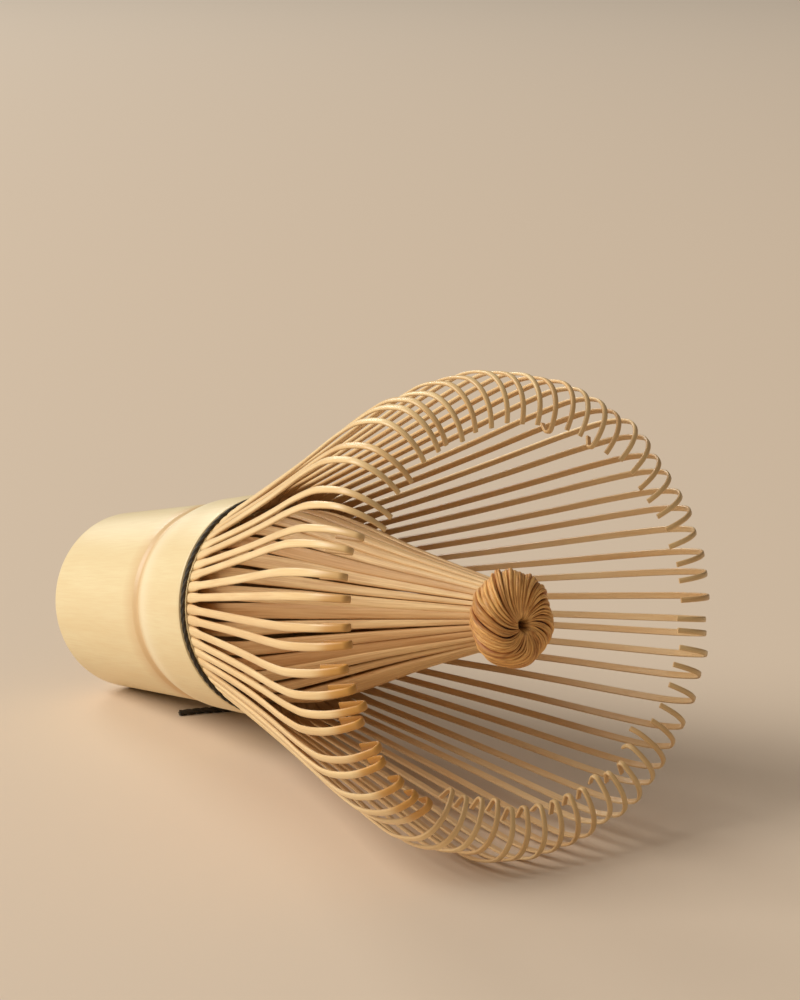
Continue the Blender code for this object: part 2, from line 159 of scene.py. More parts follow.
# Tines that stand off their even pitch, in degrees, in full from STRAY_TO on
STRAY_TINES = {57: -1.1, 54: -1.6, 52: -2.6, 47: 1.5, 44: -1.3, 41: 1.4, 38: -1.5, 37: -1.8, 13: 1.7, 12: 2.0,
               11: 2.2, 10: 1.5}
STRAY_SPREAD = 0.35
STRAY_TO = 38.0 * MM
FLARE_SPREAD = 0.5
SEED = 11
# The tines opposite the hooks are narrower, from the first share of nearness to them, in full at the second
FAR_SIDE = math.radians(90.0)
FAR_FROM = 0.15
FAR_FULL = 0.6
# The bent end turns golden with painted warm shade from the first place to the second, and a plain one
# only by this share
GOLD_SHADE_FROM = 57.6 * MM
GOLD_SHADE_TO = 60.2 * MM
PLAIN_GOLD_SHADE = 0.2
# Every strip reads the grain this far on from the one before
OUTER_GRAIN_STEP = 7.0 * MM
INNER_GRAIN_STEP = 11.0 * MM
KNOB_GRAIN_STEP = 5.0 * MM

# Inner tines: (distance along the axis from the root, outer-face radius)
INNER_TINES = 32
INNER_PER_SLICE = 4
CONE = ((8.4 * MM, 12.9 * MM), (18.8 * MM, 10.9 * MM), (33.2 * MM, 7.6 * MM))
# How wide a strip is cut against its even share: most touch, and the narrow ones leave a dark gap
STRIP_WIDTHS = (1.08, 1.04, 1.0, 0.96, 0.8)
NECK_REACH = 51.0 * MM
NECK_RADIUS = 3.95 * MM
INNER_STEPS = 6
# How far a strip drifts round, in degrees, and sinks, in mm, half-way along
INNER_DRIFT = 2.0
INNER_SINK = (-0.15, 0.3)

# Knob: (share of its radius, share of its length), from its back over the rim into the dimple
KNOB_LENGTH = 5.3 * MM
KNOB_RADIUS = 5.65 * MM
KNOB_OVAL = 1.08
KNOB_LINE = ((0.70, -0.06), (0.7, 0.0), (0.88, 0.1), (0.98, 0.32), (1.0, 0.55), (0.94, 0.78), (0.8, 0.94),
             (0.6, 1.0), (0.34, 0.97), (0.14, 0.88), (0.07, 0.5))
# The knob hangs to the side the whisk lies on and is narrower across, in full from this share of a strand on
KNOB_HANG = Vector((0.5 * MM, 0.0, 0.0))
KNOB_NARROW = 0.95
KNOB_CLEAR = 0.2
# The dimple sits this far off the middle, and the strands turn towards it from this share of their length
DIMPLE_PLACE = Vector((0.8 * MM, 0.15 * MM, 0.0))
DIMPLE_FROM = 0.45
# The ends are split again before they are curled, and each covers a little of the next
KNOB_STRANDS = 58
STRAND_OVERLAP = 1.1
STRAND_STEPS = 5
STRAND_ROW = 0.3 * MM
THINNEST_WIDTH = 0.3 * MM
THINNEST = 0.25 * MM
# How thick a strand may be, as a share of the knob's radius there
STRAND_DEPTH = 0.45
# One strand against the next: its share of the round, how far it stands out in mm, and how far off are its
# swirl, in degrees, and its waves, in radians
STRAND_SHARES = (0.6, 1.4)
STRAND_LIFT = (-0.3, 0.16)
STRAND_SWIRL = 3.0
STRAND_WAVE = 0.6
# A strand's waves: how they shift round the knob, how far they sway it aside, how far it rises and dips, and
# how fast each comes along its length
WAVE_SHIFT = 3.0
STRAND_SWAY = math.radians(2.2)
SWAY_RATE = 7.0
KNOB_RIPPLE = 0.11 * MM
RIPPLE_RATE = 13.0
LIFT_RATE = 1.4
# Shares of a strand's length over which its ripple starts, and over which it rises forwards instead of out
RIPPLE_START = (0.05, 0.3)
RISE_START = (0.4, 0.7)
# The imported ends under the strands
CORE_DEPTH = 0.45 * MM
CORE_END = 0.05 * MM
CORE_STEPS = 3
CORE_SIDES = 48

# Thread: one round over the roots and the free end
THREAD_DIAMETER = 0.9 * MM
THREAD_RADIUS = SEAT_RADIUS + CLEARANCE + THREAD_DIAMETER / 2
THREAD_HEIGHT = HANDLE_LENGTH + THREAD_DIAMETER / 2
# Pulled tight round the roots, the thread is thinner than its slack end
TIGHT_DIAMETER = 0.66 * MM
# Its plies: how many, how thick against the thread, and how far apart their points stand
PLIES = 3
PLY_SHARE = 0.265
PLY_STEP = 0.3 * MM
# Worn fibres are this many times as bright as the thread
WORN = 3.0
THREAD_START = 10.0
THREAD_LAP = 12.0
THREAD_LIFT = 1.5 * MM
THREAD_LIFT_FROM = 328.0
THREAD_LIFT_TO = 354.0
LOOP_POINTS = 24
ROUND_POINTS = 360
# The free end's way along the floor, as (towards the knob, across) from where it leaves the round
TAIL_ROUTE = ((0.2 * MM, 1.5 * MM), (-1.6 * MM, 3.2 * MM), (-5.6 * MM, 3.6 * MM), (-11.6 * MM, 2.4 * MM),
              (-17.6 * MM, 0.2 * MM), (-21.4 * MM, -3.0 * MM), (-23.2 * MM, -6.6 * MM),
              (-24.3 * MM, -10.4 * MM))
TAIL_STEPS = 4

# Sections of the strips, as (share of the width from the middle, share of the thickness from the face)
SHAVED = ((-0.5, 0.3), (-0.4, 0.02), (-0.15, -0.07), (0.15, -0.07), (0.4, 0.02), (0.5, 0.3), (0.5, 0.72),
          (0.41, 1.0), (-0.41, 1.0), (-0.5, 0.72))
ROUNDED = ((-0.5, 0.6), (-0.46, 0.3), (-0.3, 0.08), (-0.1, 0.0), (0.1, 0.0), (0.3, 0.08), (0.46, 0.3),
           (0.5, 0.6), (0.4, 0.95), (-0.4, 0.95))

# Camera: the point it looks at, as seen from the butt, and where it stands round that point
LOOK_AT = Vector((41.881, 20.293, 19.815)) * MM
CAMERA_DISTANCE = 419.08 * MM
CAMERA_AZIMUTH = 55.9923
CAMERA_ELEVATION = 12.53
CAMERA_ROLL = -0.6959
CAMERA_LENS = 108.0

# Soft window light to the left of the camera
WINDOW_AZIMUTH = -20.0
WINDOW_ELEVATION = 39.0
WINDOW_DISTANCE = 4.0
WINDOW_COLOUR = "#FFFBF4"
# Narrower light behind the butt, which glances off the tines' bends
SIDE_AZIMUTH = -95.0
SIDE_ELEVATION = 30.0
SIDE_DISTANCE = 2.8
SIDE_COLOUR = "#FFFDF8"
# Both face the middle of the whisk, this high over the floor
AIM = Vector((0.0, 0.0, 0.03))
SKY_COLOUR = "#FFF2E2"
# The floor turns from its near colour to its far one between these distances from the whisk
FLOOR_NEAR = 0.45
FLOOR_FAR = 2.1
FLOOR_REACH = 6.0

# The Mix node's colour sockets go by number, because its sockets for other kinds of value have the same names
MIX_FIRST = 6
MIX_SECOND = 7
MIX_RESULT = 2
# How much fine detail the streaks in the bamboo have
STREAK_DETAIL = 3.0


def linear(hex_colour):
    """An sRGB hex colour as linear red, green and blue."""
    parts = [int(hex_colour[place:place + 2], 16) / 255.0 for place in (1, 3, 5)]
    return tuple(part / 12.92 if part <= 0.04045 else ((part + 0.055) / 1.055) ** 2.4 for part in parts)


def size_setting(name, description, millimetres):
    """A length that a user can change, with its default."""
    return FloatProperty(name=name, description=description, default=millimetres * MM, unit="LENGTH")


def colour_setting(name, description, hex_colour):
    """A colour that a user can change, with its default."""
    return FloatVectorProperty(name=name, description=description, subtype="COLOR", min=0.0, max=1.0,
                               default=linear(hex_colour))


class HandleSettings(PropertyGroup):
    node_groove: size_setting("Node groove", "Depth of the groove at the node", 0.36)
    node_ridge: size_setting("Node ridge", "How far the ridge above the groove stands out", 0.22)
    band_swell: size_setting("Band swell", "How far the band above the node stands out", 0.3)
    skin: colour_setting("Skin", "Bamboo skin between its fibres", "#EEDCAF")
    fibre: colour_setting("Fibre", "Bamboo skin along its fibres", "#E6CC9B")
    # Painted shade in the node's groove, over the node's own scar
    scar_and_shade: colour_setting("Node scar", "Bottom of the node's groove", "#D9B280")
    # Painted sheen on the band above the node, over its waxy bloom
    bloom_and_sheen: colour_setting("Bloom", "Pale waxy ring beside the node", "#FAEDCB")
    pith: colour_setting("Pith", "Inside of the hollow culm", "#E8CFA2")
    fibre_end: colour_setting("Fibre ends", "Dots of the cut fibres in the butt", "#9A6B38")


class OuterTineSettings(PropertyGroup):
    root_width: size_setting("Root width", "Width of a tine where it leaves the thread", 1.36)
    width: size_setting("Width", "Width of a tine along its flare", 1.04)
    tip_width: size_setting("Tip width", "Width of a tine at its bent end", 0.66)
    hook_width: size_setting("Hook width", "Width of a tine at the end of a broad hook", 0.95)
    far_share: FloatProperty(name="Far side", description="Width of the tines opposite the hooks, as a share",
                             default=0.84, min=0.5, max=1.2, subtype="FACTOR")
    thickness: size_setting("Thickness", "Thickness of a tine along its flare", 0.46)
    tip_thickness: size_setting("Tip thickness", "Thickness of a tine at its bent end", 0.34)
    face: colour_setting("Face", "Outer face of a tine", "#FADFAA")
    back: colour_setting("Back", "Inner face of a tine", "#E6CA9C")
    # Painted warm shade on the bent ends, where they turn from the light
    tip: colour_setting("Tip", "Bent end of a tine", "#D69C48")
    streak: colour_setting("Streak", "Deeper fibres of a tine", "#CE9757")


class InnerTineSettings(PropertyGroup):
    root_width: size_setting("Root width", "Widest that an inner tine is", 2.0)
    thickness: size_setting("Thickness", "Thickness of an inner tine", 0.55)
    fill: FloatProperty(name="Fill", description="Share of the cone's round that the tines cover",
                        default=0.95, min=0.3, max=0.98, subtype="FACTOR")
    face: colour_setting("Face", "Outer face of an inner tine", "#FFDDA4")
    # Painted shade on the strips' sides and inner faces, so the gaps and the inside of the cone read dark
    back: colour_setting("Back", "Inner face of an inner tine", "#B3742F")
    streak: colour_setting("Streak", "Deeper fibres of an inner tine", "#BE7C38")


class KnobSettings(PropertyGroup):
    swirl: FloatProperty(name="Swirl", description="How far a strand winds round from the neck to the dimple",
                         default=math.radians(100.0), subtype="ANGLE")
    thickness: size_setting("Strand thickness", "Thickness of a curled strand", 1.0)
    strand: colour_setting("Strand", "Curled strands", "#FFC97A")
    # Painted shade on the strands' sides; the same colour marks their deeper fibres and darker strands
    side_shade_and_fibre: colour_setting("Fold", "Sides of the strands and their deeper fibres", "#A1521B")
    # Painted shade between the strands, on the ends under them and deep in the dimple
    groove: colour_setting("Groove", "Dark between the strands", "#4A2206")


class ThreadSettings(PropertyGroup):
    lay: size_setting("Lay", "Length in which a ply goes once round the thread", 3.9)
    colour: colour_setting("Thread", "Waxed thread", "#2A241B")


class StageSettings(PropertyGroup):
    floor: colour_setting("Floor", "Plain floor under the whisk", "#DFCCB6")
    far_floor: colour_setting("Far floor", "Plain floor in the distance", "#D8CBBB")
    key_power: FloatProperty(name="Window power", description="Power of the soft light on the left, in watts",
                             default=164.0, min=0.0)
    key_size: FloatProperty(name="Window size", description="Side of the soft light on the left", default=2.5,
                            unit="LENGTH")
    side_power: FloatProperty(name="Side power", description="Power of the light over the butt, in watts",
                              default=17.0, min=0.0)
    side_size: FloatProperty(name="Side size", description="Side of the light over the butt", default=0.9,
                             unit="LENGTH")
    sky: FloatProperty(name="Sky strength", description="Strength of the light from all round", default=0.16,
                       min=0.0)


class WhiskSettings(PropertyGroup):
    handle: PointerProperty(type=HandleSettings)
    outer: PointerProperty(type=OuterTineSettings)
    inner: PointerProperty(type=InnerTineSettings)
    knob: PointerProperty(type=KnobSettings)
    thread: PointerProperty(type=ThreadSettings)
    stage: PointerProperty(type=StageSettings)


def smooth_step(value, low, high):
    """0 below low, 1 above high, and an easy curve between."""
    share = min(max((value - low) / (high - low), 0.0), 1.0)
    return share * share * (3.0 - 2.0 * share)


def interpolate(table, value):
    """Read a table of (place, amount) pairs at one place, straight between its rows."""
    for (low, first), (high, second) in zip(table, table[1:]):
        if value <= high:
            return first + (second - first) * max(value - low, 0.0) / (high - low)
    return table[-1][1]


def polar(radius, angle, height):
    return Vector((radius * math.cos(angle), radius * math.sin(angle), height))


def smooth_route(guides, steps):
    """Points of a smooth curve through every guide point."""
    padded = [2 * guides[0] - guides[1], *guides, 2 * guides[-1] - guides[-2]]
    points = [guides[0]]
    for before, first, second, after in zip(padded, padded[1:], padded[2:], padded[3:]):
        for step in range(1, steps + 1):
            share = step / steps
            points.append((2 * first + (second - before) * share
                           + (2 * before - 5 * first + 4 * second - after) * share ** 2
                           + (3 * first - before - 3 * second + after) * share ** 3) / 2)
    return points


def spaced(places, steps):
    """Even stations from each place of a list to the next, each stretch with its own number of steps."""
    stations = [places[0]]
    for start, end, count in zip(places, places[1:], steps):
        stations += [start + (end - start) * step / count for step in range(1, count + 1)]
    return stations


def new_shape():
    """An empty mesh that keeps what its finish reads at each point: a place in the grain and four shares."""
    shape = bmesh.new()
    shape.verts.layers.float_vector.new("grain")
    for name in ("tone", "back", "tip", "bloom_and_sheen"):
        shape.verts.layers.float.new(name)
    return shape


def mark(shape, vert, grain, tone=0.0, back=0.0, tip=0.0, bloom_and_sheen=0.0):
    """Write one point's place in the grain, kept in mm, and its shares of tone, back, tip, and bloom with
    painted sheen.
    """
    layers = shape.verts.layers
    vert[layers.float_vector["grain"]] = Vector(grain) / MM
    vert[layers.float["tone"]] = tone
    vert[layers.float["back"]] = back
    vert[layers.float["tip"]] = tip
    vert[layers.float["bloom_and_sheen"]] = bloom_and_sheen


def turn_outline(shape, knots, sides):
    """Turn a line of points once round the axis."""
    edges = [shape.edges.new(pair) for pair in zip(knots, knots[1:])]
    bmesh.ops.spin(shape, geom=knots + edges, axis=(0.0, 0.0, 1.0), cent=(0.0, 0.0, 0.0),
                   angle=2 * math.pi, steps=sides, use_merge=True)


def draw_strip(shape, outline, rows, tone, offset):
    """Draw one strip of bamboo through its rows and close its ends.

    A row is (point on the face, across, outward, width, thickness, distance along, share of tip)."""
    def place(verts, row):
        point, across, outward, width, thickness, along, tip = row
        for vert, (side, depth) in zip(verts, outline):
            vert.co = point + across * (side * width) - outward * (depth * thickness)
            grain = (side * width + offset, depth * thickness, along)
            mark(shape, vert, grain, tone, min(max(depth, 0.0), 1.0), tip)

    first = [shape.verts.new() for _ in outline]
    place(first, rows[0])
    end = shape.faces.new(first)
    for row in rows[1:]:
        end = bmesh.ops.extrude_discrete_faces(shape, faces=[end])["faces"][0]
        place(end.verts, row)
    shape.faces.new(reversed(first))


def put_in(name, mesh, material, slot, *nodes):
    """Put a finished mesh in the scene as a piece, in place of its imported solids."""
    mesh.materials.append(material)
    piece = bpy.data.objects.new(name, mesh)
    bpy.context.scene.collection.objects.link(piece)
    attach(piece, "root")
    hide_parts(*nodes)
    return piece


def lay_piece(name, shape, material, slot, *nodes, sharp=50.0):
    """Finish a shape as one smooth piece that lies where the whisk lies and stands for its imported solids.

    Its edges stay sharp where they turn by more than so many degrees."""
    bmesh.ops.remove_doubles(shape, verts=shape.verts, dist=MERGE_WITHIN)
    bmesh.ops.recalc_face_normals(shape, faces=shape.faces)
    shape.transform(LAID_DOWN)
    mesh = bpy.data.meshes.new(name)
    shape.to_mesh(mesh)
    shape.free()
    mesh.shade_smooth()
    mesh.set_sharp_from_angle(angle=math.radians(sharp))
    return put_in(name, mesh, material, slot, *nodes)


def add_node(tree, kind, inputs=None, **settings):
    """Add a shader node, set what it is, and set or link its inputs by name or number."""
    made = tree.nodes.new(kind)
    for key, value in settings.items():
        setattr(made, key, value)
    for name, value in (inputs or {}).items():
        if isinstance(value, bpy.types.NodeSocket):
            tree.links.new(value, made.inputs[name])
        else:
            made.inputs[name].default_value = value
    return made


def start_material(name, roughness):
    """A new material with its node tree and its shader."""
    material = bpy.data.materials.new(name)
    material.use_nodes = True
    shader = material.node_tree.nodes["Principled BSDF"]
    shader.inputs["Roughness"].default_value = roughness
    return material, material.node_tree, shader


def start_bamboo(name, roughness, base, layers, relief):
    """A bamboo material: its base colour under thin layers of others, and its fibres in relief.

    A layer is (what it follows, where, from, to, how much of it, colour). It follows a share that the piece
    keeps at its points, or streaks of a size in mm across and along the fibres, everywhere or only where
    another share is. Relief is a list of (mm across, mm along, depth)."""
    material, tree, shader = start_material(name, roughness)
    grain = add_node(tree, "ShaderNodeAttribute", attribute_name="grain").outputs["Vector"]
    colour = (*base, 1.0)
    for follows, where, low, high, most, tint in layers:
        if isinstance(follows, str):
            share = add_node(tree, "ShaderNodeAttribute", attribute_name=follows).outputs["Fac"]
        else:
            across, along = follows
            scale = {"Vector": grain, "Scale": (1 / across, 1 / across, 1 / along)}
            placed = add_node(tree, "ShaderNodeMapping", scale).outputs["Vector"]
            streaks = {"Vector": placed, "Scale": 1.0, "Detail": STREAK_DETAIL}
            share = add_node(tree, "ShaderNodeTexNoise", streaks).outputs["Fac"]
        limits = {"Value": share, "From Min": low, "From Max": high, "To Max": most}
        reach = add_node(tree, "ShaderNodeMapRange", limits).outputs["Result"]
        if where:
            kept = add_node(tree, "ShaderNodeAttribute", attribute_name=where).outputs["Fac"]
            both = {0: reach, 1: kept}
            reach = add_node(tree, "ShaderNodeMath", both, operation="MULTIPLY").outputs["Value"]
        blend = {"Factor": reach, MIX_FIRST: colour, MIX_SECOND: (*tint, 1.0)}
        colour = add_node(tree, "ShaderNodeMix", blend, data_type="RGBA").outputs[MIX_RESULT]
    tree.links.new(colour, shader.inputs["Base Color"])
    surface = {}
    for across, along, depth in relief:
        scale = {"Vector": grain, "Scale": (1 / across, 1 / across, 1 / along)}
        placed = add_node(tree, "ShaderNodeMapping", scale).outputs["Vector"]
        streaks = {"Vector": placed, "Scale": 1.0, "Detail": STREAK_DETAIL}
        height = add_node(tree, "ShaderNodeTexNoise", streaks).outputs["Fac"]
        bump = add_node(tree, "ShaderNodeBump", {"Height": height, "Distance": depth, **surface})
        surface = {"Normal": bump.outputs["Normal"]}
    tree.links.new(surface["Normal"], shader.inputs["Normal"])
    return material


def polished_bamboo_skin(settings):
    """Bamboo skin, scraped and rubbed: pale and even, with faint fibres and a low, wide gloss.

    Its fibres are 0.24 mm wide, in broad bands of 3.5 mm, and end in the butt as dots of 0.34 mm."""
    layers = (
        ((0.24, 16.0), "", 0.38, 0.7, 0.5, settings.fibre),
        ((3.5, 22.0), "", 0.4, 0.65, 0.4, settings.fibre),
        # The node's scar with painted shade in its groove
        ("tip", "", 0.0, 1.0, 0.8, settings.scar_and_shade),
        # Painted sheen above the node, over its waxy bloom
        ("bloom_and_sheen", "", 0.0, 1.0, 0.5, settings.bloom_and_sheen),
        ("back", "", 0.0, 1.0, 1.0, settings.pith),
        ((0.34, 16.0), "tone", 0.52, 0.62, 0.8, settings.fibre_end),
    )
    return start_bamboo("polished bamboo skin", 0.38, settings.skin, layers, ((0.24, 16.0, 0.01 * MM),))


def shaved_bamboo(settings):
    """Bamboo split and shaved with a knife: its skin side pale and a little glossy, its inner face duller and
    deeper, its bent ends golden with painted warm shade.

    The real fibres are finer than 0.13 mm, which is as fine as shows."""
    layers = (
        ("back", "", 0.0, 1.0, 1.0, settings.back),
        ("tip", "", 0.0, 1.0, 1.0, settings.tip),
        ((0.13, 7.0), "", 0.35, 0.7, 0.3, settings.streak),
        ((1.1, 16.0), "", 0.4, 0.7, 0.3, settings.streak),
        ("tone", "", 0.3, 1.0, 0.3, settings.streak),
    )
    return start_bamboo("shaved split bamboo", 0.36, settings.face, layers, ((0.13, 7.0, 0.015 * MM),))


def inner_bamboo(settings):
    """The inner layer of the culm, split coarsely: fibres of 0.16 mm and bundles of 0.5 to 0.7 mm, and each
    strip of its own depth of colour."""
    layers = (
        # Painted shade on the strips' sides and inner faces
        ("back", "", 0.1, 0.9, 1.0, settings.back),
        ((0.16, 9.0), "", 0.4, 0.7, 0.4, settings.streak),
        ((0.7, 14.0), "", 0.46, 0.7, 0.4, settings.streak),
        ("tone", "", 0.5, 1.0, 0.5, settings.streak),
    )
    relief = ((0.16, 9.0, 0.02 * MM), (0.5, 14.0, 0.03 * MM))
    return start_bamboo("coarse split inner bamboo", 0.46, settings.face, layers, relief)


def curled_bamboo(settings):
    """Bamboo ends soaked, curled over and pressed: golden and fibrous, ridged like rope, with painted shade
    on the strands' sides, between them and deep in the dimple.

    Fibres of 0.2 mm show as ridges, and flecks of 0.3 mm as deeper patches."""
    layers = (
        ("tone", "", 0.5, 1.0, 0.5, settings.side_shade_and_fibre),
        ((0.3, 1.6), "", 0.45, 0.7, 0.6, settings.side_shade_and_fibre),
        # Painted shade: each strand darker down its sides
        ("back", "", 0.05, 0.45, 1.0, settings.side_shade_and_fibre),
        # Painted shade, darkest low between the strands and on the ends under them
        ("back", "", 0.4, 0.8, 0.9, settings.groove),
        # Painted shade deep in the dimple
        ("tip", "", 0.86, 1.0, 0.9, settings.groove),
    )
    relief = ((0.2, 2.0, 0.1 * MM), (0.5, 1.6, 0.2 * MM))
    return start_bamboo("curled bamboo ends", 0.46, settings.strand, layers, relief)


def waxed_thread(settings):
    """Cotton thread, twined and waxed: near black, with a dull shine on its plies."""
    material, tree, shader = start_material("waxed cotton thread", 0.6)
    place = add_node(tree, "ShaderNodeTexCoord").outputs["Object"]
    # Fibres of 0.05 mm, drawn at 0.12 mm to show
    fibres = {"Vector": place, "Scale": 1 / (0.12 * MM), "Detail": 2.0}
    fuzz = add_node(tree, "ShaderNodeTexNoise", fibres).outputs["Fac"]
    limits = {"Value": fuzz, "From Min": 0.4, "From Max": 0.8}
    reach = add_node(tree, "ShaderNodeMapRange", limits).outputs["Result"]
    worn = tuple(min(1.0, part * WORN) for part in settings.colour)
    blend = {"Factor": reach, MIX_FIRST: (*settings.colour, 1.0), MIX_SECOND: (*worn, 1.0)}
    colour = add_node(tree, "ShaderNodeMix", blend, data_type="RGBA").outputs[MIX_RESULT]
    tree.links.new(colour, shader.inputs["Base Color"])
    bump = add_node(tree, "ShaderNodeBump", {"Height": fuzz, "Distance": 0.04 * MM})
    tree.links.new(bump.outputs["Normal"], shader.inputs["Normal"])
    return material


def handle_outline(settings):
    """Half section of the handle: out from the axis, over the shoulder, down to the butt and in again."""
    groove_low = NODE_HEIGHT - NODE_GROOVE_WIDTH / 2
    groove_high = NODE_HEIGHT + NODE_GROOVE_WIDTH / 2
    wall_low = NODE_HEIGHT - NODE_WALL / 2
    wall_high = NODE_HEIGHT + NODE_WALL / 2
    corner = 0.6 * EDGE
    line = [(0.0, wall_high), (HEAD_BORE_RADIUS - EDGE, wall_high), (HEAD_BORE_RADIUS, wall_high + EDGE),
            (HEAD_BORE_RADIUS, HANDLE_LENGTH), (SEAT_RADIUS, HANDLE_LENGTH), (SEAT_RADIUS, SHOULDER_HEIGHT),
            (SHOULDER_RADIUS - 2 * EDGE, SHOULDER_HEIGHT),
            (SHOULDER_RADIUS - corner, SHOULDER_HEIGHT - corner)]
    for step in range(BAND_STEPS + 1):
        share = 1.0 - step / BAND_STEPS
        height = groove_high + (SHOULDER_HEIGHT - 2 * EDGE - groove_high) * share
        radius = NODE_RADIUS + (SHOULDER_RADIUS - NODE_RADIUS) * share
        swell = settings.band_swell * math.sin(math.pi * share)
        ridge = settings.node_ridge * math.exp(-((height - groove_high - RIDGE_PLACE) / RIDGE_WIDTH) ** 2)
        line.append((radius + swell + ridge * smooth_step(share, 0.0, RIDGE_EASE), height))
    for step in range(1, GROOVE_STEPS):
        share = step / GROOVE_STEPS
        dip = settings.node_groove * math.sin(math.pi * share) ** 2
        line.append((NODE_RADIUS - dip, groove_high + (groove_low - groove_high) * share))
    for step in range(SHANK_STEPS + 1):
        share = step / SHANK_STEPS
        line.append((NODE_RADIUS + (BUTT_RADIUS - NODE_RADIUS) * share,
                     groove_low + (BUTT_ROUNDING - groove_low) * share))
    for step in range(1, ROUNDING_STEPS + 1):
        turn = math.radians(90.0 * step / ROUNDING_STEPS)
        sunk = BUTT_ROUNDING * (1.0 - math.cos(turn))
        line.append((BUTT_RADIUS - sunk, BUTT_ROUNDING * (1.0 - math.sin(turn))))
    line += [(BUTT_BORE_RADIUS + 2 * EDGE, 0.0), (BUTT_BORE_RADIUS, 2 * EDGE),
             (BUTT_BORE_RADIUS, wall_low - EDGE), (BUTT_BORE_RADIUS - EDGE, wall_low), (0.0, wall_low)]
    return line


class WHISK_OT_handle(Operator):
    """Turn the handle, a length of bamboo culm with its node"""
    bl_idname = "whisk.handle"
    bl_label = "Handle"

    def execute(self, context):
        settings = context.scene.whisk.handle
        shape = new_shape()
        knots = [shape.verts.new((radius, 0.0, height)) for radius, height in handle_outline(settings)]
        turn_outline(shape, knots, HANDLE_SIDES)
        for vert in shape.verts:
            radius = math.hypot(vert.co.x, vert.co.y)
            height = vert.co.z
            outside = 1.0 if radius > SKIN_FROM else 0.0
            # The node's scar with painted shade in its groove
            scar_and_shade = outside * math.exp(-((height - SCAR_AND_SHADE_PLACE) / SCAR_AND_SHADE_WIDTH) ** 2)
            # Painted sheen on the band above the node, over its waxy bloom
            bloom_and_sheen = outside * math.exp(-((height - BLOOM_AND_SHEEN_PLACE) / BLOOM_AND_SHEEN_WIDTH) ** 2)
            hollow = 1.0 if radius < HOLLOW_TO and height > CUT_TO else 0.0
            cut = 1.0 if height < CUT_TO else 0.0
            mark(shape, vert, vert.co, cut, hollow, scar_and_shade, bloom_and_sheen)
        material = polished_bamboo_skin(settings)
        lay_piece("handle_culm", shape, material, "polished_bamboo", "handle", sharp=35.0)
        return {"FINISHED"}


def tine_whims():
    """How each outer tine differs from the next: its place, its flare, and its end's crook or hook."""
    draw = random.Random(SEED)
    whims = []
    for index in range(OUTER_TINES):
        angle = (index + 0.5) * 2 * math.pi / OUTER_TINES
        stray = math.radians(STRAY_TINES.get(index, 0.0) + draw.uniform(-STRAY_SPREAD, STRAY_SPREAD))
        flare = draw.uniform(-FLARE_SPREAD, FLARE_SPREAD)
        nearness = (1.0 + math.cos(angle - CROOK_SIDE)) / 2
        crook = smooth_step(nearness, CROOK_NONE, CROOK_FULL) + draw.uniform(*CROOK_SPREAD)
        crook = CROOKED_TINES.get(index, crook if nearness > CROOK_NONE else 0.0)
        hook = 0.0
        if index in HOOKED_TINES:
            hook = HOOK_RUN + (SHORT_HOOK_RUN - HOOK_RUN) * smooth_step(index, SHORTER_FROM, HOOKED_TINES[-1])
            crook = 0.0
        whims.append((angle, stray, flare, max(crook, 0.0), hook))
    return whims


def outer_headings(flare, crook, hook):
    """The tine's angle to the axis along its length, with its own flare and crook or hook."""
    end = BENT_END
    if hook > 0.0:
        folded, back = HOOKED_END[-1]
        end = (*HOOKED_END, (folded + hook, back))
    table = [(place, heading + flare) for place, heading in (*FLARE, *end)]
    if crook > 0.0:
        end, heading = table[-1]
        turned = heading - CROOK_TURN * crook
        table += [(end + CROOK_LENGTH, turned), (end + CROOK_LENGTH + CROOK_RUN * crook, turned)]
    return table


def follow(table, stations, radius, height):
    """Walk along the headings and give (distance, radius, height, heading) at each station."""
    walked = []
    place = 0.0
    step = 0.1 * MM
    for station in stations:
        count = max(1, round((station - place) / step))
        stride = (station - place) / count
        for _ in range(count):
            heading = math.radians(interpolate(table, place + stride / 2))
            radius += stride * math.sin(heading)
            height += stride * math.cos(heading)
            place += stride
        walked.append((station, radius, height, math.radians(interpolate(table, station))))
    return walked


def tine_row(radius, height, heading, angle, width, thickness, along, tip):
    """One row of a tine that runs in a plane through the whisk's axis."""
    across = Vector((-math.sin(angle), math.cos(angle), 0.0))
    outward = Vector((math.cos(angle), math.sin(angle), 0.0)) * math.cos(heading)
    outward -= Vector((0.0, 0.0, math.sin(heading)))
    return polar(radius, angle, height), across, outward, width, thickness, along, tip


